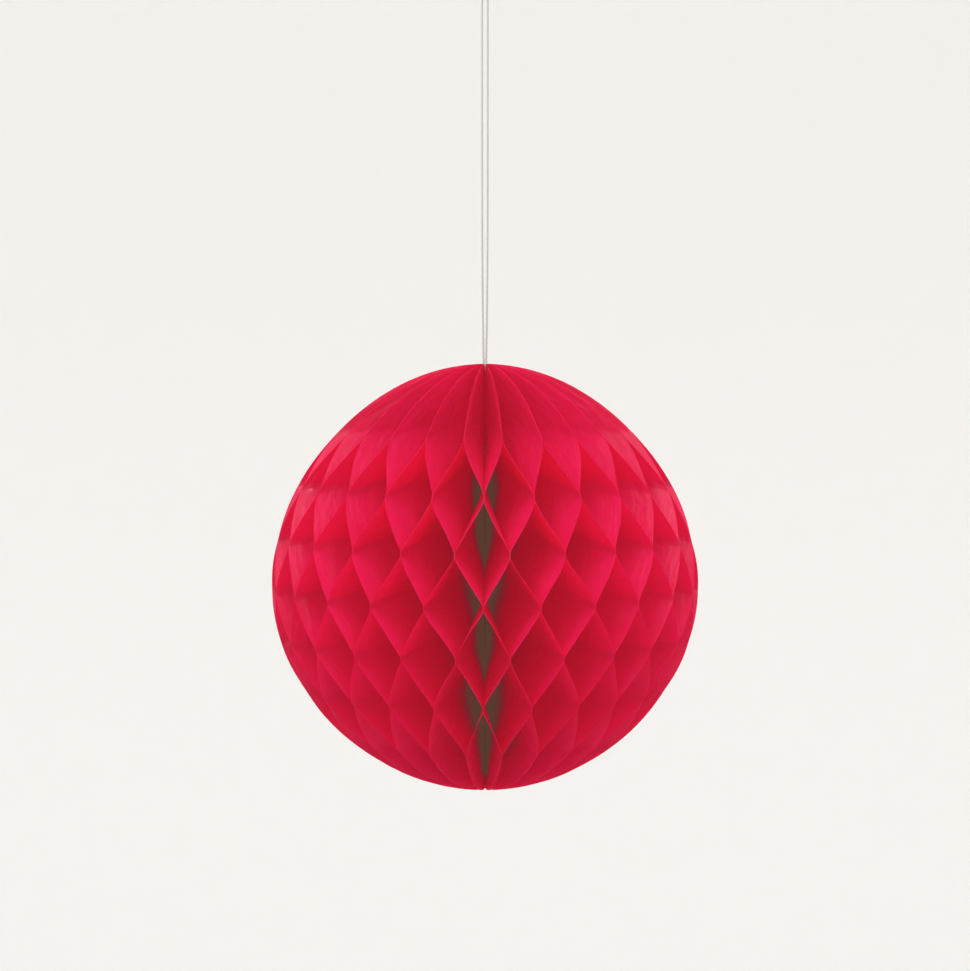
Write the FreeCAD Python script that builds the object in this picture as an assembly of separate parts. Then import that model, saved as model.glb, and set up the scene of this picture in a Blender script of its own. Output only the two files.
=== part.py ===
"""Paper honeycomb ball that opens like a fan and hangs from a string loop.

Units are millimetres. The origin is where a hook bears on the inside of the string
loop, +Z is up, and the ball hangs below it with its spine along the Z axis. The
stack of tissue leaves is fanned right round the spine, so that its two cover
boards meet back to back at the seam, on +Y. Positive azimuth is anticlockwise
seen from above. The left board and the leaves count round from the seam, and the
right board closes the ring.
"""

import FreeCAD, Part
import math
import os

# Overall sizes
BALL_DIAMETER = 203.2        # open ball, and length of the folded half disc
STRING_RISE = 180.0          # from the top of the ball to the hook
LEAF_COUNT = 48              # tissue leaves between the two boards

# Tissue leaves: each is a thin sector about the spine, thinnest at the spine
LEAF_SPREAD_DEG = 0.05       # angle that one leaf takes up
LEAF_FOLD_PITCH_DEG = 0.08   # angle from leaf to leaf with the ball folded
LEAF_SPINE_GAP = 0.5         # from the spine thread to the leaves

# Cover boards and the tape between them
BOARD_THICKNESS = 0.4
BOARD_RIM_INSET = 0.4        # board rim inside the tissue rim
SEAM_GAP = 0.2               # between the boards, back to back
BEVEL_DEG = 2.0              # the boards thin towards the spine at this angle
BEVEL_EDGE = 0.02            # thickness left at the boards' spine edge
FOLD_CLEARANCE_DEG = 0.15    # from a board's bevel to the nearest leaf, folded
TAPE_THICKNESS = 0.15
TAPE_LENGTH = 30.0           # along the rim chord
TAPE_WIDTH = 12.0
TAPE_RIM_MARGIN = 9.0        # from the board's rim to the tape's outer edge
TAPE_HEIGHT = 45.0           # of each tape's middle above or below the centre

# Threads and knots
SPINE_THREAD_DIAMETER = 0.8
SPINE_KNOT_DIAMETER = 2.4
STRING_DIAMETER = 0.9
STRING_KNOT_DIAMETER = 2.6
KNOT_DEPTH = 0.9             # top of the string's knot below the top of the ball
KNOT_GAP = 0.05              # running clearance between knots, and knot and thread
KNOT_ROOM = 1.8              # from a knot to the leaves round it

# Route of the hanging string as (x, z), from its knot up, over the hook and back
STRING_ROUTE = [
    (-0.52, -183.0),
    (-0.62, -164.0),
    (-1.30, 0.45),
    (1.30, 0.45),
    (0.62, -164.0),
    (0.52, -183.0),
]
ARC_SHARE = 0.45             # of the shorter run that an arc takes up

BALL_RADIUS = BALL_DIAMETER / 2
CENTRE_Z = -STRING_RISE - BALL_RADIUS
SPINE_AXIS = FreeCAD.Vector(0, 0, 1)
SEAM_AZIMUTH_DEG = 90.0
LEAF_PITCH_DEG = 360.0 / LEAF_COUNT
LEAF_INNER_RADIUS = SPINE_THREAD_DIAMETER / 2 + LEAF_SPINE_GAP
BOARD_RADIUS = BALL_RADIUS - BOARD_RIM_INSET

# Heights below or above the ball's centre, down the spine
STRING_KNOT_Z = BALL_RADIUS - KNOT_DEPTH - STRING_KNOT_DIAMETER / 2
TOP_KNOT_Z = STRING_KNOT_Z - (STRING_KNOT_DIAMETER + SPINE_KNOT_DIAMETER) / 2 - KNOT_GAP
BOTTOM_KNOT_Z = -BALL_RADIUS + KNOT_DEPTH + SPINE_KNOT_DIAMETER / 2
NOTCH_RADIUS = max(STRING_KNOT_DIAMETER, SPINE_KNOT_DIAMETER) / 2 + KNOT_ROOM
TOP_NOTCH_Z = TOP_KNOT_Z - SPINE_KNOT_DIAMETER / 2 - KNOT_ROOM
BOTTOM_NOTCH_Z = BOTTOM_KNOT_Z + SPINE_KNOT_DIAMETER / 2 + KNOT_ROOM

# Folding: the right board turns from the seam all the way round to the folded pack
FIRST_LEAF_FOLDED_DEG = BEVEL_DEG + FOLD_CLEARANCE_DEG + LEAF_SPREAD_DEG / 2
FOLDED_PACK_DEG = 2 * FIRST_LEAF_FOLDED_DEG + (LEAF_COUNT - 1) * LEAF_FOLD_PITCH_DEG
FOLD_RANGE_DEG = 360.0 - FOLDED_PACK_DEG


def save(shape, node):
    """Write one node's shape to its STEP file."""
    shape.exportStep(f"parts/{node}.step")
    print(f"{node}: solids {len(shape.Solids)}, volume {shape.Volume:.3f} mm3")


def at_height(z):
    """Point on the spine axis at a height measured from the ball's centre."""
    return FreeCAD.Vector(0, 0, CENTRE_Z + z)


def rim_point(radius, angle_deg):
    """Point on a rim circle in the XZ plane; the angle is from the equator, upward."""
    angle = math.radians(angle_deg)
    return FreeCAD.Vector(radius * math.cos(angle), 0, CENTRE_Z + radius * math.sin(angle))


def polygon_and_rim(points, rim_radius, low_deg, high_deg):
    """Face in the XZ plane: a rim arc closed by straight edges through the points.

    The points run from the arc's top end round to its bottom end.
    """
    low = rim_point(rim_radius, low_deg)
    high = rim_point(rim_radius, high_deg)
    corners = [high] + [FreeCAD.Vector(x, 0, CENTRE_Z + z) for x, z in points] + [low]
    edges = [Part.Arc(low, rim_point(rim_radius, 0), high).toShape()]
    for start, end in zip(corners, corners[1:]):
        edges.append(Part.LineSegment(start, end).toShape())
    return Part.Face(Part.Wire(edges))


def tissue_leaf(number):
    """Half-disc leaf at its place in the open fan, with room for the knots at both ends."""
    rim_deg = math.degrees(math.acos(NOTCH_RADIUS / BALL_RADIUS))
    notched = [
        (NOTCH_RADIUS, TOP_NOTCH_Z),
        (LEAF_INNER_RADIUS, TOP_NOTCH_Z),
        (LEAF_INNER_RADIUS, BOTTOM_NOTCH_Z),
        (NOTCH_RADIUS, BOTTOM_NOTCH_Z),
    ]
    face = polygon_and_rim(notched, BALL_RADIUS, -rim_deg, rim_deg)
    leaf = face.revolve(at_height(0), SPINE_AXIS, LEAF_SPREAD_DEG)
    azimuth = SEAM_AZIMUTH_DEG + (number - 0.5) * LEAF_PITCH_DEG
    leaf.rotate(at_height(0), SPINE_AXIS, azimuth - LEAF_SPREAD_DEG / 2)
    return leaf


def cover_board():
    """Left cover board: a half disc of card, bevelled on its leaf side towards the spine."""
    back = SEAM_GAP / 2
    front = back + BOARD_THICKNESS
    slope = math.tan(math.radians(BEVEL_DEG))
    inner = (back + BEVEL_EDGE) / slope
    bevel_end = front / slope
    rim_deg = math.degrees(math.acos(inner / BOARD_RADIUS))
    high = rim_point(BOARD_RADIUS, rim_deg)
    low = rim_point(BOARD_RADIUS, -rim_deg)
    edges = [
        Part.Arc(low, rim_point(BOARD_RADIUS, 0), high).toShape(),
        Part.LineSegment(high, low).toShape(),
    ]
    board = Part.Face(Part.Wire(edges)).extrude(FreeCAD.Vector(0, BOARD_THICKNESS, 0))
    board.translate(FreeCAD.Vector(0, back, 0))
    wedge = Part.makePolygon([
        FreeCAD.Vector(inner, back + BEVEL_EDGE, low.z - 1),
        FreeCAD.Vector(bevel_end, front, low.z - 1),
        FreeCAD.Vector(bevel_end, front + 1, low.z - 1),
        FreeCAD.Vector(inner - 1, front + 1, low.z - 1),
        FreeCAD.Vector(inner - 1, back + BEVEL_EDGE - slope, low.z - 1),
        FreeCAD.Vector(inner, back + BEVEL_EDGE, low.z - 1),
    ])
    cutter = Part.Face(wedge).extrude(FreeCAD.Vector(0, 0, high.z - low.z + 2))
    board = board.cut(cutter)
    board.rotate(at_height(0), SPINE_AXIS, SEAM_AZIMUTH_DEG)
    return board


def tape_strip(height):
    """Double-sided tape on the back of the left board, its length along the rim."""
    angle = math.degrees(math.asin(height / BOARD_RADIUS))
    outer = BOARD_RADIUS - TAPE_RIM_MARGIN
    strip = Part.makeBox(TAPE_WIDTH, TAPE_THICKNESS, TAPE_LENGTH)
    strip.translate(FreeCAD.Vector(outer - TAPE_WIDTH, SEAM_GAP / 2 - TAPE_THICKNESS, -TAPE_LENGTH / 2))
    strip.rotate(FreeCAD.Vector(0, 0, 0), FreeCAD.Vector(0, -1, 0), angle)
    strip.translate(at_height(0))
    strip.rotate(at_height(0), SPINE_AXIS, SEAM_AZIMUTH_DEG)
    return strip


def spine_thread():
    """Thread that binds the leaves' straight edges, from the top knot to the bottom one."""
    top = TOP_KNOT_Z - SPINE_KNOT_DIAMETER / 2 - KNOT_GAP
    return Part.makeCylinder(SPINE_THREAD_DIAMETER / 2, top - BOTTOM_KNOT_Z, at_height(BOTTOM_KNOT_Z))


def knot(diameter, height):
    """Small round knot on the spine axis."""
    return Part.makeSphere(diameter / 2, at_height(height))


def arc_at(before, corner, after):
    """Arc that rounds a corner of the route, with its radius."""
    run_in = corner - before
    run_out = after - corner
    half_turn = run_in.getAngle(run_out) / 2
    reach = ARC_SHARE * min(run_in.Length, run_out.Length)
    start = corner - FreeCAD.Vector(run_in).normalize() * reach
    end = corner + FreeCAD.Vector(run_out).normalize() * reach
    radius = reach / math.tan(half_turn)
    to_centre = (start + end) * 0.5 - corner
    centre_distance = radius / math.cos(half_turn)
    middle = corner + FreeCAD.Vector(to_centre).normalize() * (centre_distance - radius)
    return start, middle, end, radius


def hanging_loop():
    """String loop: one tube along straight runs and tangent arcs."""
    route = [FreeCAD.Vector(x, 0, z) for x, z in STRING_ROUTE]
    edges = []
    here = route[0]
    for before, corner, after in zip(route, route[1:], route[2:]):
        start, middle, end, radius = arc_at(before, corner, after)
        print(f"string arc radius {radius:.2f} mm")
        edges.append(Part.LineSegment(here, start).toShape())
        edges.append(Part.Arc(start, middle, end).toShape())
        here = end
    edges.append(Part.LineSegment(here, route[-1]).toShape())
    path = Part.Wire(edges)
    section = Part.Circle(route[0], route[1] - route[0], STRING_DIAMETER / 2).toShape()
    tube = path.makePipeShell([Part.Wire([section])], True, True)
    expected = math.pi * STRING_DIAMETER**2 / 4 * path.Length
    print(f"string length {path.Length:.1f} mm, volume {tube.Volume:.2f} of {expected:.2f} mm3")
    return tube


def main():
    """Build and save every node."""
    os.makedirs("parts", exist_ok=True)
    print(f"folded pack {FOLDED_PACK_DEG:.3f} deg, fold range {FOLD_RANGE_DEG:.3f} deg")
    for number in range(1, LEAF_COUNT + 1):
        save(tissue_leaf(number), f"tissue_leaf_{number:02d}")
    left_board = cover_board()
    save(left_board, "cover_board_left")
    right_board = left_board.mirror(at_height(0), FreeCAD.Vector(1, 0, 0))
    save(right_board, "cover_board_right")
    save(tape_strip(TAPE_HEIGHT), "tape_strip_upper")
    save(tape_strip(-TAPE_HEIGHT), "tape_strip_lower")
    save(spine_thread(), "spine_thread")
    save(knot(SPINE_KNOT_DIAMETER, TOP_KNOT_Z), "spine_knot_top")
    save(knot(SPINE_KNOT_DIAMETER, BOTTOM_KNOT_Z), "spine_knot_bottom")
    save(knot(STRING_KNOT_DIAMETER, STRING_KNOT_Z), "string_knot")
    save(hanging_loop(), "hanging_loop")


main()
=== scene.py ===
"""Looks for the paper honeycomb ball: tissue leaves, cover boards, tape, thread, string and studio.

Lengths are in metres and places are in the frame's own axes: +Z up, with the fan's seam
on +Y. A leaf is described by its flat cut, a half disc: each point has a distance from
the spine and a flat height above the ball's centre.
"""

import logging
import math
from dataclasses import dataclass, field
from enum import Enum

import bpy
import numpy as np
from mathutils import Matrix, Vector


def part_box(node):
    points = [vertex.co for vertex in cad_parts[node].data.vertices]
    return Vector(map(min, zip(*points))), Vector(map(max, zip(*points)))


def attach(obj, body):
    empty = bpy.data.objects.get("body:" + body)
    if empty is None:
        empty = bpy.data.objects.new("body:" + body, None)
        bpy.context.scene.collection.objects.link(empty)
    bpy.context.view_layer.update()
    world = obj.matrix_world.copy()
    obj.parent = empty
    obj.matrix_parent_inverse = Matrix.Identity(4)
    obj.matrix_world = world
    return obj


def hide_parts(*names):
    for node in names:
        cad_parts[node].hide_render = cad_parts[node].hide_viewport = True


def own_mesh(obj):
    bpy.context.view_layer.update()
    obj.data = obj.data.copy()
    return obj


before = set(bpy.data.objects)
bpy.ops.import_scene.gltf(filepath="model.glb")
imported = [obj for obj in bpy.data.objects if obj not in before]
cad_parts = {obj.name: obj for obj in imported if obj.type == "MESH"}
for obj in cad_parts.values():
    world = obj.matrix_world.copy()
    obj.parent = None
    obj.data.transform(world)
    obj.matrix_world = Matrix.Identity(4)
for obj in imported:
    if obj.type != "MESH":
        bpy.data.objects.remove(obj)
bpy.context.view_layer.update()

log = logging.getLogger("honeycomb_ball")
FULL_TURN = 2 * math.pi


class Side(Enum):
    """The two cover boards, named as seen from the side away from the seam."""

    LEFT = "cover_board_left"
    RIGHT = "cover_board_right"


class Level(Enum):
    """The two strips of tape, above and below the ball's middle."""

    UPPER = "upper"
    LOWER = "lower"


# ---- shader helpers


class NodeWriter:
    """Adds nodes to one shader tree and joins them."""

    def __init__(self, tree: bpy.types.NodeTree) -> None:
        """Start writing into a material's node tree or a node group."""
        self.tree = tree

    def add(self, kind: str, **settings: object) -> bpy.types.Node:
        """Add a node.

        Args:
            kind: The node's Blender type name.
            settings: Properties to set on it.

        Returns:
            The new node.
        """
        node = self.tree.nodes.new(kind)
        for name, value in settings.items():
            setattr(node, name, value)
        return node

    def feed(self, socket: bpy.types.NodeSocket, value: object) -> None:
        """Link a socket if the value is a socket, and otherwise set its default value."""
        if isinstance(value, bpy.types.NodeSocket):
            self.tree.links.new(value, socket)
        else:
            socket.default_value = value

    def math(self, operation: str, *values: object) -> bpy.types.NodeSocket:
        """Add a Math node.

        Args:
            operation: The Math node's operation.
            values: Sockets or numbers for its inputs.

        Returns:
            Its output socket.
        """
        node = self.add("ShaderNodeMath", operation=operation)
        for socket, value in zip(node.inputs, values):
            self.feed(socket, value)
        return node.outputs[0]

    def ramp(self, value: object, low: float, high: float) -> bpy.types.NodeSocket:
        """Map a value smoothly from 0 at low to 1 at high.

        Args:
            value: The socket to map.
            low: Value that gives 0.
            high: Value that gives 1.

        Returns:
            The mapped value's socket.
        """
        node = self.add("ShaderNodeMapRange", interpolation_type="SMOOTHSTEP")
        self.feed(node.inputs["Value"], value)
        node.inputs["From Min"].default_value = low
        node.inputs["From Max"].default_value = high
        return node.outputs["Result"]

    def noise(self, vector: object, scale: float, detail: float) -> bpy.types.NodeSocket:
        """Add a Noise texture.

        Args:
            vector: Socket for its coordinates.
            scale: Features per unit.
            detail: Octaves of finer noise.

        Returns:
            Its value between 0 and 1.
        """
        node = self.add("ShaderNodeTexNoise")
        self.feed(node.inputs["Vector"], vector)
        node.inputs["Scale"].default_value = scale
        node.inputs["Detail"].default_value = detail
        return node.outputs["Fac"]

    def mix(self, factor: object, low: object, high: object) -> bpy.types.NodeSocket:
        """Mix two colours.

        Args:
            factor: Share of the second colour.
            low: First colour, or its socket.
            high: Second colour, or its socket.

        Returns:
            The mixed colour's socket.
        """
        node = self.add("ShaderNodeMix", data_type="RGBA")
        self.feed(node.inputs[0], factor)
        self.feed(node.inputs[6], low)
        self.feed(node.inputs[7], high)
        return node.outputs[2]

    def linear(self, value: object, gain: float, offset: float) -> bpy.types.NodeSocket:
        """Give the value times a gain, plus an offset."""
        return self.math("ADD", self.math("MULTIPLY", value, gain), offset)

    def length(self, a: object, b: object) -> bpy.types.NodeSocket:
        """Give the square root of a squared plus b squared."""
        square = self.math("ADD", self.math("MULTIPLY", a, a), self.math("MULTIPLY", b, b))
        return self.math("SQRT", square)

    def place(self) -> bpy.types.NodeSocket:
        """Give the point's place in the object's own axes."""
        return self.add("ShaderNodeTexCoord").outputs["Object"]

    def axes(self) -> list[bpy.types.NodeSocket]:
        """Give the point's x, y and z in the object's own axes."""
        parts = self.add("ShaderNodeSeparateXYZ")
        self.feed(parts.inputs[0], self.place())
        return list(parts.outputs)

    def group(self, tree: bpy.types.NodeTree, **values: object) -> bpy.types.Node:
        """Place a node group and set its inputs.

        Args:
            tree: The group to place.
            values: Numbers or sockets, with the inputs' names in lower case and underscores.

        Returns:
            The group's node.
        """
        node = self.add("ShaderNodeGroup", node_tree=tree)
        for socket in node.inputs:
            key = socket.name.lower().replace(" ", "_")
            if key in values:
                self.feed(socket, values[key])
        return node


def new_group(
    name: str, inputs: dict[str, float], outputs: list[str]
) -> tuple[NodeWriter, bpy.types.Node, bpy.types.Node]:
    """Start a shader node group with float sockets.

    Args:
        name: The group's name.
        inputs: Each input's name and default value.
        outputs: The outputs' names.

    Returns:
        A writer for the group, its input node and its output node.
    """
    tree = bpy.data.node_groups.new(name, "ShaderNodeTree")
    for label, value in inputs.items():
        socket = tree.interface.new_socket(label, in_out="INPUT", socket_type="NodeSocketFloat")
        socket.default_value = value
    for label in outputs:
        tree.interface.new_socket(label, in_out="OUTPUT", socket_type="NodeSocketFloat")
    writer = NodeWriter(tree)
    return writer, writer.add("NodeGroupInput"), writer.add("NodeGroupOutput")


@dataclass
class SurfaceEffects:
    """Node groups that several finishes share. Each is built once."""

    creases_per_metre: float = 130.0  # inwards from the rim
    creases_per_radian: float = 2.6  # along the rim, where they run far
    leaves_per_radian: float = 5.0  # how fast the creases change from leaf to leaf
    yarn_slant: float = 0.8
    lint_per_metre: float = 2600.0
    polar: bpy.types.NodeTree = field(init=False)
    fibre: bpy.types.NodeTree = field(init=False)
    crease: bpy.types.NodeTree = field(init=False)
    twist: bpy.types.NodeTree = field(init=False)

    def __post_init__(self) -> None:
        """Build the groups."""
        self.polar = self._polar()
        self.fibre = self._fibre()
        self.crease = self._crease()
        self.twist = self._twist()

    def _polar(self) -> bpy.types.NodeTree:
        """Make the group that measures a point from the spine and from the ball's centre.

        Returns:
            Group with the distance from the spine, the distance from the centre, the
            latitude in radians and the azimuth in radians.
        """
        names = ["Spine Distance", "Centre Distance", "Latitude", "Azimuth"]
        w, given, out = new_group("ball_polar", {"Centre Height": 0.0}, names)
        x, y, z = w.axes()
        height = w.math("SUBTRACT", z, given.outputs["Centre Height"])
        spine = w.length(x, y)
        w.feed(out.inputs["Spine Distance"], spine)
        w.feed(out.inputs["Centre Distance"], w.length(spine, height))
        w.feed(out.inputs["Latitude"], w.math("ARCTAN2", height, spine))
        w.feed(out.inputs["Azimuth"], w.math("ARCTAN2", x, w.math("MULTIPLY", y, -1.0)))
        return w.tree

    def _fibre(self) -> bpy.types.NodeTree:
        """Make the group for paper pulp: soft clouds with short fine fibres.

        Returns:
            Group with a mottle value and a height.
        """
        w, given, out = new_group("paper_fibre", {"Scale": 300.0}, ["Mottle", "Height"])
        sized = w.add("ShaderNodeVectorMath", operation="SCALE")
        w.feed(sized.inputs[0], w.place())
        w.feed(sized.inputs["Scale"], given.outputs["Scale"])
        cloud = w.noise(sized.outputs[0], 0.12, 3.0)
        fine = w.noise(sized.outputs[0], 4.0, 2.0)
        mottle = w.math("ADD", w.math("MULTIPLY", cloud, 0.7), w.math("MULTIPLY", fine, 0.3))
        w.feed(out.inputs["Mottle"], mottle)
        w.feed(out.inputs["Height"], fine)
        return w.tree

    def _crease(self) -> bpy.types.NodeTree:
        """Make the group for handling creases, which run along a leaf's round rim.

        Returns:
            Group with a height and a mask that is 1 on sharp creases.
        """
        inputs = {"Centre Distance": 0.0, "Latitude": 0.0, "Azimuth": 0.0}
        w, given, out = new_group("rim_creases", inputs, ["Height", "Mask"])
        across = w.math("MULTIPLY", given.outputs["Centre Distance"], self.creases_per_metre)
        along = w.math("MULTIPLY", given.outputs["Latitude"], self.creases_per_radian)
        leaf = w.math("MULTIPLY", given.outputs["Azimuth"], self.leaves_per_radian)
        place = w.add("ShaderNodeCombineXYZ")
        for socket, value in zip(place.inputs, (across, along, leaf)):
            w.feed(socket, value)
        broad = w.noise(place.outputs[0], 1.0, 3.0)
        ridge = w.math("ABSOLUTE", w.math("SUBTRACT", w.noise(place.outputs[0], 2.1, 1.0), 0.5))
        w.feed(out.inputs["Height"], w.math("SUBTRACT", broad, w.math("MULTIPLY", ridge, 0.9)))
        w.feed(out.inputs["Mask"], w.math("SUBTRACT", 1.0, w.ramp(ridge, 0.0, 0.05)))
        return w.tree

    def _twist(self) -> bpy.types.NodeTree:
        """Make the group for spun thread: lint and slanting yarns.

        Returns:
            Group with a mottle value and a height.
        """
        w, given, out = new_group("spun_yarn", {"Yarns Per Metre": 900.0}, ["Mottle", "Height"])
        x, y, z = w.axes()
        slant = w.math("ADD", z, w.math("MULTIPLY", w.math("ADD", x, y), self.yarn_slant))
        yarns = w.math("MULTIPLY", slant, given.outputs["Yarns Per Metre"])
        wave = w.math("SINE", w.math("MULTIPLY", yarns, FULL_TURN))
        lint = w.noise(w.place(), self.lint_per_metre, 2.0)
        w.feed(out.inputs["Mottle"], w.math("ADD", w.math("MULTIPLY", wave, 0.15), lint))
        w.feed(out.inputs["Height"], w.math("ADD", w.math("MULTIPLY", wave, 0.5), lint))
        return w.tree


# ---- finishes


def start_material(name: str) -> tuple[bpy.types.Material, NodeWriter, bpy.types.Node]:
    """Start a material that has a Principled shader.

    Args:
        name: The material's name.

    Returns:
        The material, a writer for its tree and the shader node.
    """
    material = bpy.data.materials.new(name)
    material.use_nodes = True
    tree = material.node_tree
    return material, NodeWriter(tree), tree.nodes["Principled BSDF"]


def bump(
    w: NodeWriter, height: object, shader: bpy.types.Node, depth: float, strength: float
) -> None:
    """Feed a height to a shader's normal.

    Args:
        w: Writer for the material's tree.
        height: Socket of the height.
        shader: The Principled shader.
        depth: Depth in metres of a height of 1.
        strength: The Bump node's strength.
    """
    node = w.add("ShaderNodeBump")
    node.inputs["Strength"].default_value = strength
    node.inputs["Distance"].default_value = depth
    w.feed(node.inputs["Height"], height)
    w.feed(shader.inputs["Normal"], node.outputs["Normal"])


@dataclass(frozen=True)
class TissueFinish:
    """Thin glazed crimson tissue that lets light through, with painted shade deep in the cells near
    the spine and a painted glow all over.
    """

    lit: tuple = (0.852, 0.0125, 0.175, 1.0)
    dense: tuple = (0.812, 0.0095, 0.145, 1.0)
    cut_edge: tuple = (0.87, 0.018, 0.19, 1.0)
    # Painted shade deep in the cells near the spine: a dark red half shade, then olive brown.
    half_shade: tuple = (0.36, 0.016, 0.045, 1.0)
    deep_shade: tuple = (0.085, 0.050, 0.033, 1.0)
    # Painted glow: emission over all the tissue that stands in for light, dimmer and browner in the
    # painted shade.
    painted_glow: tuple = (0.062, 0.0064, 0.014, 1.0)
    half_shade_glow: tuple = (0.112, 0.016, 0.022, 1.0)
    deep_shade_glow: tuple = (0.086, 0.039, 0.0265, 1.0)
    shade_reach: float = 0.047  # how far from the spine the painted shade goes
    shade_thins_from: float = 0.030  # height above the centre where it starts to thin out
    shade_thins_to: float = 0.074
    unshaded_rim: float = 0.003  # depth below the rim that the painted shade never reaches
    shade_foot_from: float = -0.065  # and where it thins out again towards the foot
    shade_foot_to: float = -0.098
    foot_reach: float = 0.25  # share of the painted shade's reach that is left at the foot
    least_reach: float = 0.004
    unevenness: float = 0.7  # how far the mottle pushes the painted shade's edge about
    fades_from: float = 0.22  # shares of the reach between which the painted shade fades out
    fades_to: float = 1.14
    rim_fade: float = 0.007
    cut_edge_width: float = 0.0004
    cut_edge_share: float = 0.16
    see_through: float = 0.68  # share of the light that goes through the tissue
    roughness: float = 0.42
    crease_gloss: float = 0.20  # how much smoother the tissue is on a sharp crease
    grain_roughness: float = 0.16
    relief_depth: float = 0.0012

    def deep_shade_mask(
        self, w: NodeWriter, polar: bpy.types.Node, mottle: object, spine: "BallFrame"
    ) -> bpy.types.NodeSocket:
        """Mask the stained part.

        Args:
            w: Writer for the material's tree.
            polar: The placed polar group.
            mottle: Socket of the paper's mottle, which makes the painted shade's edge uneven.
            spine: Place and size of the ball.

        Returns:
            Socket that is 1 in the painted shade and 0 on unshaded tissue.
        """
        from_centre = polar.outputs["Centre Distance"]
        height = w.math("MULTIPLY", from_centre, w.math("SINE", polar.outputs["Latitude"]))
        thins = w.ramp(height, self.shade_thins_from, self.shade_thins_to)
        thinned = w.math("SUBTRACT", 1.0, thins)
        foot = w.ramp(height, self.shade_foot_to, self.shade_foot_from)
        foot = w.linear(foot, 1.0 - self.foot_reach, self.foot_reach)
        span = self.shade_reach - self.least_reach
        reach = w.linear(w.math("MULTIPLY", thinned, foot), span, self.least_reach)
        share = w.math("DIVIDE", polar.outputs["Spine Distance"], reach)
        uneven = w.math("MULTIPLY", w.math("SUBTRACT", mottle, 0.5), self.unevenness)
        share = w.math("ADD", share, uneven)
        near = w.math("SUBTRACT", 1.0, w.ramp(share, self.fades_from, self.fades_to))
        near = w.math("MULTIPLY", near, w.ramp(thinned, 0.0, 0.35))
        depth = w.math("SUBTRACT", spine.radius, from_centre)
        inside = w.ramp(depth, self.unshaded_rim, self.unshaded_rim + self.rim_fade)
        return w.math("MULTIPLY", near, inside)

    def material(self, effects: SurfaceEffects, spine: "BallFrame") -> bpy.types.Material:
        """Make the material.

        Args:
            effects: The shared node groups.
            spine: Place and size of the ball.

        Returns:
            The tissue material.
        """
        material, w, shader = start_material("crimson_tissue")
        polar = w.group(effects.polar, centre_height=spine.centre.z)
        fibre = w.group(effects.fibre, scale=300.0)
        crease = w.group(
            effects.crease,
            centre_distance=polar.outputs["Centre Distance"],
            latitude=polar.outputs["Latitude"],
            azimuth=polar.outputs["Azimuth"],
        )
        colour = w.mix(w.ramp(fibre.outputs["Mottle"], 0.35, 0.65), self.dense, self.lit)
        edge_at = spine.radius - self.cut_edge_width
        rim = w.ramp(polar.outputs["Centre Distance"], edge_at, spine.radius)
        colour = w.mix(w.math("MULTIPLY", rim, self.cut_edge_share), colour, self.cut_edge)
        deep_shade_mask = self.deep_shade_mask(w, polar, fibre.outputs["Mottle"], spine)
        # Painted shade: the tissue turns dark red, then olive brown, in the cells near the spine.
        half_shade_mix, deep_shade_mix = w.ramp(deep_shade_mask, 0.0, 0.65), w.ramp(deep_shade_mask, 0.2, 1.0)
        colour = w.mix(deep_shade_mix, w.mix(half_shade_mix, colour, self.half_shade), self.deep_shade)
        w.feed(shader.inputs["Base Color"], colour)
        # Painted glow: emission that stands in for light, scaled up to make good the mix with the
        # translucent shader.
        glow = w.mix(deep_shade_mix, w.mix(half_shade_mix, self.painted_glow, self.half_shade_glow), self.deep_shade_glow)
        w.feed(shader.inputs["Emission Color"], glow)
        shader.inputs["Emission Strength"].default_value = 1 / (1 - self.see_through)
        gloss = w.math("MULTIPLY", crease.outputs["Mask"], -self.crease_gloss)
        grain = w.math("MULTIPLY", fibre.outputs["Height"], self.grain_roughness)
        rough = w.math("ADD", w.math("ADD", gloss, grain), self.roughness)
        w.feed(shader.inputs["Roughness"], rough)
        shader.inputs["IOR"].default_value = 1.45
        pulp = w.math("MULTIPLY", fibre.outputs["Height"], 0.06)
        relief = w.math("ADD", crease.outputs["Height"], pulp)
        bump(w, relief, shader, self.relief_depth, 0.6)
        through = w.add("ShaderNodeBsdfTranslucent")
        w.feed(through.inputs["Color"], colour)
        both = w.add("ShaderNodeMixShader")
        both.inputs[0].default_value = self.see_through
        w.feed(both.inputs[1], shader.outputs[0])
        w.feed(both.inputs[2], through.outputs[0])
        w.feed(material.node_tree.nodes["Material Output"].inputs["Surface"], both.outputs[0])
        return material


@dataclass(frozen=True)
class CardFinish:
    """Crimson card with a paler cut rim and light scuffs."""

    face: tuple = (0.60, 0.010, 0.040, 1.0)
    dense: tuple = (0.48, 0.008, 0.030, 1.0)
    rim: tuple = (0.72, 0.30, 0.30, 1.0)
    rim_width: float = 0.0006

    def material(self, effects: SurfaceEffects, spine: "BallFrame") -> bpy.types.Material:
        """Make the material.

        Args:
            effects: The shared node groups.
            spine: Place and size of the ball.

        Returns:
            The card material.
        """
        material, w, shader = start_material("crimson_card")
        polar = w.group(effects.polar, centre_height=spine.centre.z)
        fibre = w.group(effects.fibre, scale=520.0)
        colour = w.mix(w.ramp(fibre.outputs["Mottle"], 0.3, 0.7), self.dense, self.face)
        edge_at = spine.board_radius - self.rim_width
        rim = w.ramp(polar.outputs["Centre Distance"], edge_at, spine.board_radius)
        colour = w.mix(w.math("MULTIPLY", rim, 0.8), colour, self.rim)
        w.feed(shader.inputs["Base Color"], colour)
        w.feed(shader.inputs["Roughness"], w.linear(fibre.outputs["Mottle"], 0.3, 0.5))
        shader.inputs["Specular IOR Level"].default_value = 0.25
        bump(w, fibre.outputs["Height"], shader, 0.0001, 0.5)
        return material


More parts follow.
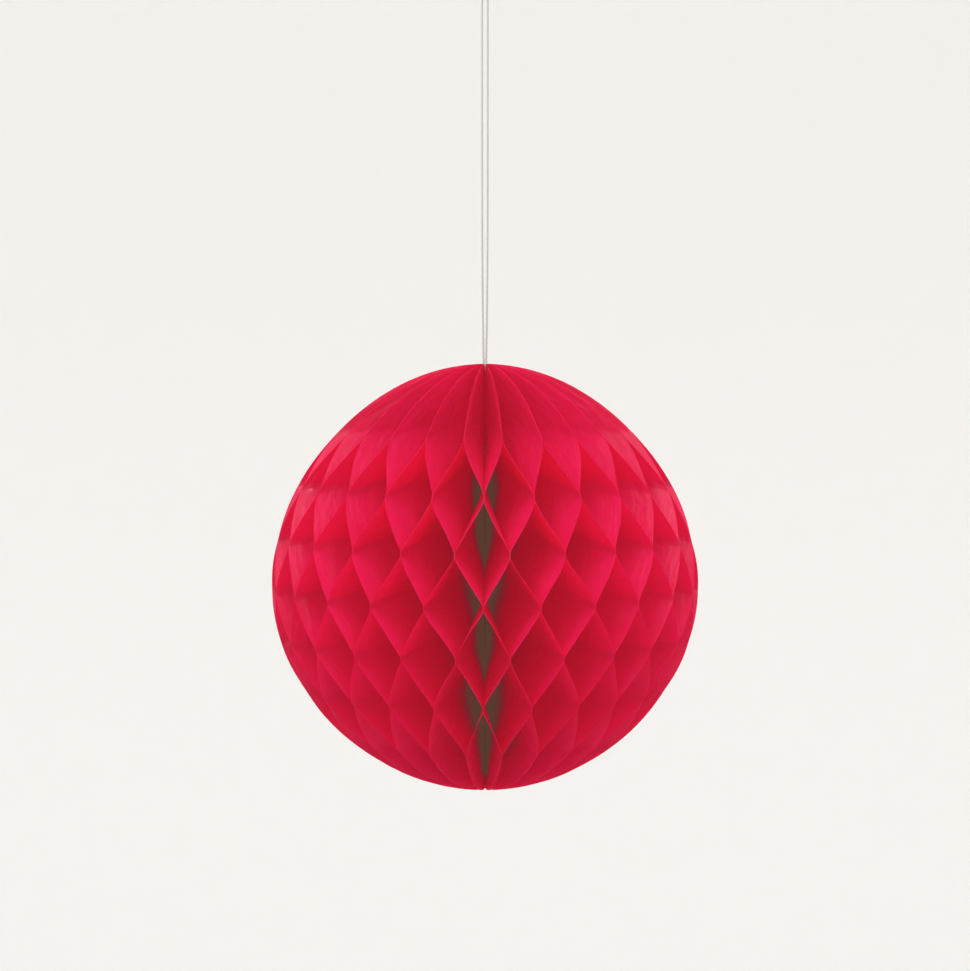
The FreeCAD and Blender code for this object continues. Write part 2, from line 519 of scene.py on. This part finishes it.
@dataclass(frozen=True)
class TapeFinish:
    """Milky double-sided tape: the card shows through where it grips, and trapped air is paler."""

    gripped: tuple = (0.70, 0.34, 0.32, 1.0)
    film: tuple = (0.76, 0.47, 0.44, 1.0)
    bubble: tuple = (0.84, 0.66, 0.62, 1.0)

    def material(self, effects: SurfaceEffects) -> bpy.types.Material:
        """Make the material.

        Args:
            effects: The shared node groups.

        Returns:
            The tape material.
        """
        material, w, shader = start_material("milky_tape")
        fibre = w.group(effects.fibre, scale=7500.0)
        mottle = fibre.outputs["Mottle"]
        colour = w.mix(w.ramp(mottle, 0.30, 0.52), self.gripped, self.film)
        colour = w.mix(w.ramp(mottle, 0.54, 0.66), colour, self.bubble)
        w.feed(shader.inputs["Base Color"], colour)
        w.feed(shader.inputs["Roughness"], w.linear(mottle, 0.3, 0.12))
        bump(w, mottle, shader, 0.0001, 0.6)
        return material


@dataclass(frozen=True)
class YarnFinish:
    """Spun cotton, with its lint and slanting yarns."""

    name: str
    shade: tuple
    light: tuple
    roughness: float = 0.75

    def material(self, effects: SurfaceEffects) -> bpy.types.Material:
        """Make the material.

        Args:
            effects: The shared node groups.

        Returns:
            The yarn material.
        """
        material, w, shader = start_material(self.name)
        yarn = w.group(effects.twist, yarns_per_metre=1100.0)
        lint = w.ramp(yarn.outputs["Mottle"], 0.25, 0.75)
        w.feed(shader.inputs["Base Color"], w.mix(lint, self.shade, self.light))
        rough = w.linear(yarn.outputs["Mottle"], 0.1, self.roughness)
        w.feed(shader.inputs["Roughness"], rough)
        shader.inputs["Sheen Weight"].default_value = 0.3
        bump(w, yarn.outputs["Height"], shader, 0.00006, 0.6)
        return material


@dataclass(frozen=True)
class SweepFinish:
    """Plain pale studio sweep with a painted shadow: a little greyer in a pool below the ball."""

    colour: tuple = (0.905, 0.898, 0.889, 1.0)
    shadow_pool: tuple = (0.64, 0.635, 0.63, 1.0)
    shadow_pool_radius: float = 0.9
    shadow_edge_radius: float = 2.8

    def material(self) -> bpy.types.Material:
        """Make the material.

        Returns:
            The sweep's material.
        """
        material, w, shader = start_material("pale_sweep")
        x, y, _ = w.axes()
        # Painted shadow: greyer below the ball, fading to the plain colour further out.
        past_shadow = w.ramp(w.length(x, y), self.shadow_pool_radius, self.shadow_edge_radius)
        w.feed(shader.inputs["Base Color"], w.mix(past_shadow, self.shadow_pool, self.colour))
        shader.inputs["Roughness"].default_value = 1.0
        shader.inputs["Specular IOR Level"].default_value = 0.0
        return material


# ---- mesh helpers


def add_to_scene(name: str, data: bpy.types.ID) -> bpy.types.Object:
    """Put a mesh, a light or a camera in the scene."""
    thing = bpy.data.objects.new(name, data)
    bpy.context.scene.collection.objects.link(thing)
    return thing


def box_centre(node: str) -> Vector:
    """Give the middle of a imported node's box."""
    low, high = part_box(node)
    return (Vector(low) + Vector(high)) / 2


def make_mesh(
    name: str, points: np.ndarray, faces: list, material: bpy.types.Material
) -> bpy.types.Object:
    """Make a mesh object in the scene.

    Args:
        name: The piece's name.
        points: Its vertices, one row each.
        faces: Vertex numbers of each face.
        material: Its material.

    Returns:
        The new object.
    """
    mesh = bpy.data.meshes.new(name)
    mesh.from_pydata([tuple(p) for p in points], [], faces)
    mesh.validate()
    mesh.polygons.foreach_set("use_smooth", [True] * len(mesh.polygons))
    mesh.set_sharp_from_angle(angle=math.radians(60))
    mesh.materials.append(material)
    return add_to_scene(name, mesh)


def grid_faces(rows: int, columns: int, start: int = 0, flip: bool = False) -> list:
    """List the quads of a grid of vertices numbered row by row.

    Args:
        rows: Rows of vertices.
        columns: Vertices in a row.
        start: Number of the first vertex.
        flip: Whether the faces turn the other way.

    Returns:
        The quads.
    """
    faces = []
    for r in range(rows - 1):
        for c in range(columns - 1):
            a = start + r * columns + c
            quad = (a, a + 1, a + columns + 1, a + columns)
            faces.append(quad[::-1] if flip else quad)
    return faces


def tube_mesh(path: np.ndarray, profile: "YarnProfile") -> tuple[np.ndarray, list]:
    """Sweep a twisted yarn section along a path, with closed ends.

    Args:
        path: Points along the centre line.
        profile: The yarn's section and twist.

    Returns:
        Vertices and faces.
    """
    tangent = np.gradient(path, axis=0)
    tangent /= np.linalg.norm(tangent, axis=1)[:, None]
    side = np.cross(tangent[0], (0.0, 1.0, 0.0))
    if np.linalg.norm(side) < 0.1:
        side = np.cross(tangent[0], (1.0, 0.0, 0.0))
    steps = np.linalg.norm(np.diff(path, axis=0), axis=1)
    length = np.concatenate([[0.0], np.cumsum(steps)])
    around = np.linspace(0.0, FULL_TURN, profile.facets, endpoint=False)
    rings = []
    for place, along, run in zip(path, tangent, length):
        side = side - along * np.dot(side, along)
        side /= np.linalg.norm(side)
        up = np.cross(along, side)
        radius = profile.radius_at(around, run)
        across = np.outer(radius * np.cos(around), side) + np.outer(radius * np.sin(around), up)
        rings.append(place + across)
    count = profile.facets
    faces = []
    for r in range(len(path) - 1):
        here, there = r * count, (r + 1) * count
        for c in range(count):
            d = (c + 1) % count
            faces.append((here + c, here + d, there + d, there + c))
    last = (len(path) - 1) * count
    faces.append(tuple(range(count))[::-1])
    faces.append(tuple(range(last, last + count)))
    return np.concatenate(rings), faces


@dataclass(frozen=True)
class YarnProfile:
    """Section of a plied yarn: lobes that wind along its length."""

    diameter: float
    plies: int = 3
    lay_length: float = 0.0032
    lobe_depth: float = 0.10
    facets: int = 15

    def radius_at(self, around: np.ndarray, run: float) -> np.ndarray:
        """Give the section's radius.

        Args:
            around: Angles round the section.
            run: Distance along the yarn.

        Returns:
            The radius at each angle.
        """
        turn = run / self.lay_length * FULL_TURN
        wave = 0.5 - 0.5 * np.cos(self.plies * around - turn)
        return self.diameter / 2 * (1.0 - self.lobe_depth * wave)


# ---- the ball


@dataclass
class BallFrame:
    """Place and size of the ball, read from the frame."""

    centre: Vector = field(init=False)
    radius: float = field(init=False)
    board_radius: float = field(init=False)
    leaf_count: int = field(init=False)
    seam_azimuth: float = math.pi / 2

    def __post_init__(self) -> None:
        """Read the boxes of the first leaf and a board."""
        low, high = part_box("cover_board_left")
        self.centre = Vector((0.0, 0.0, (low[2] + high[2]) / 2))
        self.board_radius = high[1]
        low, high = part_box("tissue_leaf_01")
        self.radius = math.hypot(low[0], high[1])
        self.leaf_count = sum(name.startswith("tissue_leaf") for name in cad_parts)

    @property
    def leaf_pitch(self) -> float:
        """Angle from leaf to leaf."""
        return FULL_TURN / self.leaf_count

    def azimuth(self, steps: float) -> float:
        """Azimuth of a leaf or a glue column, in leaf pitches counted from the seam."""
        return self.seam_azimuth + steps * self.leaf_pitch


@dataclass
class TissueFan:
    """The tissue leaves, each zigzagging between the glue columns that it shares."""

    spine: BallFrame
    finish: TissueFinish
    glue_step: float = 0.0258  # flat height from one glue line to the next
    glue_offset: float = -0.0021  # flat height of the first glue line on even columns
    glue_half_width: float = 0.0014
    glue_gap_share: float = 0.012  # keeps neighbours apart where they are glued
    top_line: int = 3  # last glue line below the top of the spine
    foot_line: int = -3
    end_parting: float = 0.22  # how far glued leaves part again towards the top
    foot_parting: float = 1.6  # and how many times more towards the foot
    rim_contraction: float = 0.07  # share of its height that the rim loses as it opens
    droop: float = 0.0035  # sag of the rim under its own weight
    inner_rise: float = 0.0045  # how far the binding gathers the glue lines up at the spine
    paper: float = 0.00008
    inner_radius: float = 0.0008
    notch_radius: float = 0.0031  # room for the string to tilt in, towards the sides
    snug_radius: float = 0.0016  # room for the knots elsewhere
    notch_depth: float = 0.0078
    notch_slope: float = 0.0015  # height over which a leaf draws back into its notch
    foot_close: float = 0.0008  # height above the foot where leaves close below the knot
    foot_slope: float = 0.0003
    foot_radius: float = 0.0003
    board_clearance: float = 0.00058  # from the seam plane to the outermost leaves
    spine_clearance: float = 0.0001  # the same at the spine, and how fast it grows outwards
    clearance_slope: float = 0.04
    fold_keep: float = 0.0100  # share of the zigzag left in the folded ball
    softness: float = 0.10  # roundness of the zigzag at the rim, below the middle
    softness_rise: float = 0.45  # how much rounder it gets towards the top
    inner_softness: float = 0.95  # its roundness near the spine
    wander_deg: float = 0.42  # a glue column's stray, and the length of its waves
    wander_length: float = 0.045
    flutter_deg: float = 0.20  # a leaf's slight waves, and their lengths
    flutter_lengths: tuple = (0.009, 0.0047)
    columns: int = 15
    column_spread: float = 1.25  # above 1, the columns stand closer together at the rim
    row_shares: tuple = (
        0.0, 0.03, 0.06, 0.10, 0.16, 0.25, 0.37, 0.5, 0.63, 0.75, 0.84, 0.90, 0.94, 0.97,
    )
    pole_degrees: tuple = (66, 69, 72, 75, 77, 79, 81, 83, 84.5, 86, 87)
    seed: int = 20

    def flat_heights(self) -> np.ndarray:
        """List the mesh rows' flat heights: close together at glue lines and near the poles.

        Returns:
            Heights in rising order.
        """
        end = math.sqrt(self.spine.radius**2 - self.notch_radius**2)
        first = math.floor((-end - self.glue_offset) / self.glue_step)
        last = math.ceil((end - self.glue_offset) / self.glue_step)
        rows = [-end, end]
        for line in range(first, last + 1):
            for share in self.row_shares:
                rows.append(self.glue_offset + (line + share) * self.glue_step)
        for degrees in self.pole_degrees:
            height = self.spine.radius * math.sin(math.radians(degrees))
            rows += [height, -height]
        rows = sorted(h for h in rows if -end <= h <= end)
        kept = [rows[0]]
        for height in rows[1:]:
            if height - kept[-1] > 0.0002:
                kept.append(height)
        kept[-1] = end
        return np.array(kept)

    def sway(self, flat: np.ndarray, depth: np.ndarray) -> np.ndarray:
        """Give where a leaf is between its two glue columns.

        Past the last glue lines nothing draws a leaf back, so there it stays where it was glued.

        Args:
            flat: Flat heights.
            depth: Share of the way in from the rim to the spine.

        Returns:
            1 on the even-numbered column and -1 on the odd-numbered one.
        """
        steps = (flat - self.glue_offset) / self.glue_step
        line = np.floor(steps)
        share = steps - line
        margin = self.glue_half_width / self.glue_step
        share = np.clip((share - margin) / (1 - 2 * margin), 0.0, 1.0)
        up = np.clip(flat / self.spine.radius, 0.0, 1.0)
        softness = self.softness + self.softness_rise * up
        inward = np.clip(depth * 1.6, 0.0, 1.0)
        softness = softness + (self.inner_softness - softness) * inward
        wave = (1 - softness) * (1 - 2 * share) + softness * np.cos(math.pi * share)
        wave = np.where(line % 2 == 0, wave, -wave)
        free_top = np.clip(steps - self.top_line, 0.0, 1.0)
        free_foot = np.clip(self.foot_line - steps, 0.0, 1.0)
        loose = self.end_parting * (free_top**1.5 + self.foot_parting * free_foot**1.5)
        past = (steps > self.top_line) | (steps < self.foot_line)
        return np.where(past, loose - 1, wave)

    def column_wander(self, number: int, flat: np.ndarray) -> np.ndarray:
        """Give a glue column's small stray from its true azimuth.

        Args:
            number: The column, counted from the seam.
            flat: Flat heights.

        Returns:
            Angles, which are 0 at the boards.
        """
        if number in (0, self.spine.leaf_count):
            return np.zeros_like(flat)
        draw = np.random.default_rng(self.seed + number)
        reach = math.radians(self.wander_deg)
        phase, offset = draw.uniform(0, FULL_TURN), draw.normal(0, 0.45)
        return reach * (offset + 0.5 * np.sin(flat / self.wander_length + phase))

    def leaf_azimuth(self, number: int, flat: np.ndarray, depth: np.ndarray) -> np.ndarray:
        """Give a leaf's azimuth over its grid.

        Args:
            number: The leaf, from 1.
            flat: Flat heights, one row each.
            depth: Share of the way in from the rim, at each grid point.

        Returns:
            Azimuths in radians.
        """
        towards_later = self.sway(flat[:, None], depth) * (1 if number % 2 == 0 else -1)
        earlier = number - 1
        before = self.spine.azimuth(earlier) + self.column_wander(earlier, flat)[:, None]
        after = self.spine.azimuth(number) + self.column_wander(number, flat)[:, None]
        share = 0.5 + 0.5 * towards_later * (1 - self.glue_gap_share)
        return before + (after - before) * share

    def leaf_points(self, number: int) -> np.ndarray:
        """Place the middle surface of a leaf.

        Args:
            number: The leaf, from 1.

        Returns:
            Grid of points: rows of height by columns from the spine to the rim.
        """
        flat = self.flat_heights()
        radius = self.spine.radius
        rim = np.sqrt(radius**2 - flat**2)
        notch_start = radius - self.notch_depth - self.notch_slope
        into_notch = np.clip((np.abs(flat) - notch_start) / self.notch_slope, 0.0, 1.0)
        azimuth = self.spine.azimuth(number - 0.5)
        sideways = min(self.notch_radius, self.snug_radius / max(abs(math.sin(azimuth)), 0.01))
        room = np.where(flat > 0, sideways, self.snug_radius)
        inner = self.inner_radius + (room - self.inner_radius) * into_notch
        below_knot = np.clip((-flat - (radius - self.foot_close)) / self.foot_slope, 0.0, 1.0)
        inner = inner + (self.foot_radius - inner) * below_knot
        across = 1 - (1 - np.linspace(0.0, 1.0, self.columns)) ** self.column_spread
        width = np.maximum(rim - inner, 0.0001)[:, None]
        distance = inner[:, None] + width * across[None, :]
        reach = (distance / radius) ** 2
        height = flat[:, None] * (1 - self.rim_contraction * reach) - self.droop * reach
        depth = 1 - distance / distance[:, -1:]
        height += self.inner_rise * (rim / radius)[:, None] * depth * (2 - depth)
        azimuth = self.leaf_azimuth(number, flat, depth)
        azimuth = azimuth + self.flutter(number, flat, distance, depth)
        across_seam = distance * np.sin(azimuth - self.spine.seam_azimuth)
        growing = distance * self.clearance_slope + self.spine_clearance
        clearance = np.minimum(self.board_clearance, growing)
        if number == 1:
            across_seam = np.maximum(across_seam, clearance)
        if number == self.spine.leaf_count:
            across_seam = np.minimum(across_seam, -clearance)
        along_seam = np.sqrt(np.maximum(distance**2 - across_seam**2, 0.0))
        along_seam *= np.sign(np.cos(azimuth - self.spine.seam_azimuth))
        return np.stack([-across_seam, along_seam, self.spine.centre.z + height], axis=2)

    def flutter(
        self, number: int, flat: np.ndarray, distance: np.ndarray, depth: np.ndarray
    ) -> np.ndarray:
        """Give the slight waves of a leaf between its glue lines, strongest at the rim.

        Args:
            number: The leaf, from 1.
            flat: Flat heights.
            distance: Each grid point's distance from the spine.
            depth: Share of the way in from the rim, at each grid point.

        Returns:
            Angles to add to the azimuth.
        """
        draw = np.random.default_rng(7 * self.seed + number)
        free = 1 - self.sway(flat[:, None], depth) ** 2
        phases = draw.uniform(0, FULL_TURN, 3)
        long, short = self.flutter_lengths
        wave = np.sin(flat[:, None] / long + phases[0] + distance / 0.02)
        wave = wave + 0.6 * np.sin(flat[:, None] / short + phases[1])
        reach = (distance / self.spine.radius) ** 2
        return math.radians(self.flutter_deg) * free * reach * wave

    def leaf_mesh(self, number: int) -> tuple[np.ndarray, list]:
        """Give a leaf its thickness.

        Args:
            number: The leaf, from 1.

        Returns:
            Vertices and faces of a closed sheet.
        """
        middle = self.leaf_points(number)
        rows, columns, _ = middle.shape
        up = np.gradient(middle, axis=0)
        out = np.gradient(middle, axis=1)
        normal = np.cross(out, up)
        normal /= np.maximum(np.linalg.norm(normal, axis=2), 1e-12)[:, :, None]
        front = (middle + normal * self.paper / 2).reshape(-1, 3)
        back = (middle - normal * self.paper / 2).reshape(-1, 3)
        count = rows * columns
        faces = grid_faces(rows, columns) + grid_faces(rows, columns, count, flip=True)
        border = list(range(columns))
        border += [r * columns + columns - 1 for r in range(1, rows)]
        border += [(rows - 1) * columns + c for c in range(columns - 2, -1, -1)]
        border += [r * columns for r in range(rows - 2, 0, -1)]
        for a, b in zip(border, border[1:] + border[:1]):
            faces.append((b, a, a + count, b + count))
        return np.concatenate([front, back]), faces

    def build(self, effects: SurfaceEffects) -> None:
        """Make every leaf and fix it to its body.

        Args:
            effects: The shared node groups.
        """
        material = self.finish.material(effects, self.spine)
        for number in range(1, self.spine.leaf_count + 1):
            node = f"tissue_leaf_{number:02d}"
            leaf = make_mesh(f"honeycomb_leaf_{number:02d}", *self.leaf_mesh(number), material)
            azimuth = self.spine.azimuth(number - 0.5)
            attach(leaf, f"leaf_{number:02d}")
            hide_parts(node)
            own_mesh(leaf)
        log.info("tissue fan: %d leaves", self.spine.leaf_count)


@dataclass
class Covers:
    """The two card boards and the tape that joins them."""

    spine: BallFrame
    card: CardFinish
    tape: TapeFinish

    def build(self, effects: SurfaceEffects) -> None:
        """Dress the boards and the tape.

        Args:
            effects: The shared node groups.
        """
        card = self.card.material(effects, self.spine)
        for side in Side:
            self.dress(side.value, card)
        tape = self.tape.material(effects)
        for level in Level:
            self.dress(f"tape_strip_{level.value}", tape)
        log.info("covers: two boards and two tape strips")

    def dress(self, node: str, material: bpy.types.Material) -> None:
        """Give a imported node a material."""
        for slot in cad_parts[node].material_slots:
            slot.material = material


@dataclass(frozen=True)
class KnotShape:
    """A tight barrel knot: turns of yarn wound round the strands, with a trimmed tail."""

    yarn: YarnProfile
    coil_radius: float
    rise: float
    turns: float = 3.0
    tail: float = 0.0009

    def path(self, centre: Vector, steps: int = 110) -> np.ndarray:
        """Place the winding's centre line.

        Args:
            centre: Middle of the knot.
            steps: Points along it.

        Returns:
            Points, one row each.
        """
        t = np.linspace(0.0, 1.0, steps)
        angle = t * self.turns * FULL_TURN
        waist = self.coil_radius * (1 - 0.35 * (2 * t - 1) ** 4)
        rise = (0.5 - t) * self.rise
        coil = np.stack([waist * np.cos(angle), waist * np.sin(angle), rise], axis=1)
        s = np.linspace(0.15, 1.0, 8)[:, None]
        end, run = coil[-1], (coil[-1] - coil[-3]) * 3
        inwards = np.array([-0.6 * end[0], -0.6 * end[1], -self.tail])
        tail = end + run * s + inwards * s**1.5
        return np.concatenate([coil, tail]) + np.array(centre)


@dataclass
class SpineBinding:
    """The thread down the spine, with a knot at each end."""

    finish: YarnFinish
    thread: YarnProfile = YarnProfile(diameter=0.0008, lay_length=0.0028)
    knot: KnotShape = KnotShape(
        YarnProfile(0.00066, lay_length=0.002, facets=12), 0.00082, rise=0.0015, tail=0.0001
    )
    thread_rings: int = 700

    def build(self, effects: SurfaceEffects) -> None:
        """Make the thread and its knots.

        Args:
            effects: The shared node groups.
        """
        material = self.finish.material(effects)
        low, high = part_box("spine_thread")
        heights = np.linspace(low[2], high[2], self.thread_rings)
        middle = np.zeros(self.thread_rings)
        path = np.stack([middle, middle, heights], axis=1)
        thread = make_mesh("binding_thread", *tube_mesh(path, self.thread), material)
        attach(thread, "ball_spine")
        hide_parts("spine_thread")
        for node, body in (("spine_knot_top", "top_knot"), ("spine_knot_bottom", "ball_spine")):
            winding = tube_mesh(self.knot.path(box_centre(node)), self.knot.yarn)
            knot = make_mesh(f"bound_{node}", *winding, material)
            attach(knot, body)
            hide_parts(node)
        log.info("spine binding: thread and two knots")


@dataclass
class HangingString:
    """The white string, folded in two, that the ball hangs by."""

    finish: YarnFinish
    yarn: YarnProfile = YarnProfile(diameter=0.0009)
    route: tuple = (
        (-0.00052, -0.1830),
        (-0.00090, -0.1640),
        (-0.00130, -0.1260),
        (-0.00135, -0.0052),
        (-0.00130, 0.00045),
        (0.00130, 0.00045),
        (0.00135, -0.0052),
        (0.00130, -0.1260),
        (0.00090, -0.1640),
        (0.00052, -0.1830),
    )
    length: float = 0.3685
    point_spacing: float = 0.00012
    knot: KnotShape = KnotShape(
        YarnProfile(0.00072, lay_length=0.0022, facets=12), 0.00088, rise=0.0016
    )

    def centre_line(self) -> np.ndarray:
        """Read points along the route's smooth spline.

        Returns:
            Points, one row each.
        """
        curve = bpy.data.curves.new("string_route", "CURVE")
        curve.dimensions = "3D"
        curve.resolution_u = 260
        spline = curve.splines.new("NURBS")
        spline.points.add(len(self.route) - 1)
        for point, (x, z) in zip(spline.points, self.route):
            point.co = (x, 0.0, z, 1.0)
        spline.order_u = 3
        spline.use_endpoint_u = True
        guide = bpy.data.objects.new("string_route", curve)
        mesh = bpy.data.meshes.new_from_object(guide)
        points = np.array([v.co for v in mesh.vertices], float)
        bpy.data.meshes.remove(mesh)
        bpy.data.objects.remove(guide)
        keep = [points[0]]
        for point in points[1:]:
            if np.linalg.norm(point - keep[-1]) > self.point_spacing:
                keep.append(point)
        return np.array(keep)

    def build(self, effects: SurfaceEffects) -> None:
        """Make the string and its knot.

        Args:
            effects: The shared node groups.
        """
        material = self.finish.material(effects)
        path = self.centre_line()
        string = make_mesh("hanging_string", *tube_mesh(path, self.yarn), material)
        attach(string, "hanging_string")
        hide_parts("hanging_loop")
        winding = tube_mesh(self.knot.path(box_centre("string_knot")), self.knot.yarn)
        knot = make_mesh("string_barrel_knot", *winding, material)
        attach(knot, "hanging_string")
        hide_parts("string_knot")
        log.info("hanging string: %d points", len(path))


# ---- studio


@dataclass
class Studio:
    """Camera, soft lights and a pale round sweep."""

    spine: BallFrame
    sweep: SweepFinish
    distance: float = 2.0
    elevation_deg: float = 5.4
    swing_deg: float = 0.55  # the camera stands a little right of the front column
    field_width: float = 0.4633  # seen across the frame at the ball's distance
    aim_above_centre: float = 0.0437
    floor_drop: float = 0.9  # from the ball's centre to the floor
    air_light: float = 1.03

    def camera(self) -> None:
        """Set the camera in front, slightly above the ball's centre."""
        data = bpy.data.cameras.new("camera")
        data.sensor_width = 36.0
        data.lens = data.sensor_width * self.distance / self.field_width
        camera = add_to_scene("camera", data)
        rise = math.radians(self.elevation_deg)
        swing = math.radians(self.swing_deg)
        level = math.cos(rise)
        away = Vector((level * math.sin(swing), -level * math.cos(swing), math.sin(rise)))
        camera.location = self.spine.centre + away * self.distance
        aim = self.spine.centre + Vector((0.0, 0.0, self.aim_above_centre))
        camera.rotation_euler = (aim - camera.location).to_track_quat("-Z", "Y").to_euler()
        bpy.context.scene.camera = camera

    def area_light(
        self, name: str, place: tuple, size: tuple, power: float, gloss_only: bool = False
    ) -> None:
        """Add a soft light that faces the ball.

        Args:
            name: The light's name.
            place: Its place from the ball's centre.
            size: Its width and height.
            power: Its power in watts.
            gloss_only: Whether it only shows as a reflection.
        """
        data = bpy.data.lights.new(name, "AREA")
        data.shape = "RECTANGLE"
        data.size, data.size_y = size
        data.energy = power
        light = add_to_scene(name, data)
        light.location = self.spine.centre + Vector(place)
        facing = self.spine.centre - light.location
        light.rotation_euler = facing.to_track_quat("-Z", "Y").to_euler()
        light.visible_camera = False
        light.visible_diffuse = not gloss_only
        light.visible_transmission = not gloss_only

    def backdrop(self) -> None:
        """Turn a floor, a round cove and a wall about the vertical axis."""
        floor = self.spine.centre.z - self.floor_drop
        flat_radius, cove, wall = 3.2, 1.2, 3.0
        cove_steps, facets = 12, 96
        profile = [(0.0, 0.0), (flat_radius * 0.5, 0.0)]
        for step in range(cove_steps + 1):
            angle = math.radians(90 * step / cove_steps)
            profile.append((flat_radius + cove * math.sin(angle), cove - cove * math.cos(angle)))
        profile.append((flat_radius + cove, cove + wall))
        around = np.linspace(0.0, FULL_TURN, facets + 1)
        rings = []
        for r, z in profile:
            rings.append([(r * math.cos(a), r * math.sin(a), floor + z) for a in around])
        points = np.array(rings).reshape(-1, 3)
        faces = grid_faces(len(profile), facets + 1, flip=True)
        make_mesh("studio_sweep", points, faces, self.sweep.material())

    def world(self) -> None:
        """Light the scene evenly from the open top."""
        world = bpy.data.worlds.new("studio_air")
        world.use_nodes = True
        shade = world.node_tree.nodes["Background"]
        shade.inputs["Color"].default_value = (1.0, 0.99, 0.975, 1.0)
        shade.inputs["Strength"].default_value = self.air_light
        bpy.context.scene.world = world

    def build(self) -> None:
        """Make the camera, the lights and the sweep."""
        scene = bpy.context.scene
        scene.view_settings.view_transform = "Standard"
        scene.cycles.max_bounces = 12
        scene.cycles.diffuse_bounces = 12
        self.camera()
        self.backdrop()
        self.world()
        self.area_light("top_softbox", (-0.1, -0.7, 1.8), (1.4, 1.2), 27.0)
        self.area_light("front_softbox", (0.0, -2.6, 0.9), (1.6, 1.0), 5.0)
        for name, x in (("left_gloss", -0.75), ("right_gloss", 0.75)):
            self.area_light(name, (x, -2.1, 1.1), (0.16, 0.8), 38.0, gloss_only=True)
        log.info("studio: camera, four lights and the sweep")


def main() -> None:
    """Build everything in order."""
    logging.basicConfig(level=logging.INFO, format="%(message)s")
    spine = BallFrame()
    effects = SurfaceEffects()
    Studio(spine, SweepFinish()).build()
    string = YarnFinish("grey_white_string", (0.34, 0.34, 0.332, 1.0), (0.56, 0.56, 0.549, 1.0))
    HangingString(string).build(effects)
    TissueFan(spine, TissueFinish()).build(effects)
    Covers(spine, CardFinish(), TapeFinish()).build(effects)
    thread = YarnFinish("crimson_thread", (0.30, 0.01, 0.03, 1.0), (0.55, 0.02, 0.06, 1.0))
    SpineBinding(thread).build(effects)


if __name__ == "__main__":
    main()
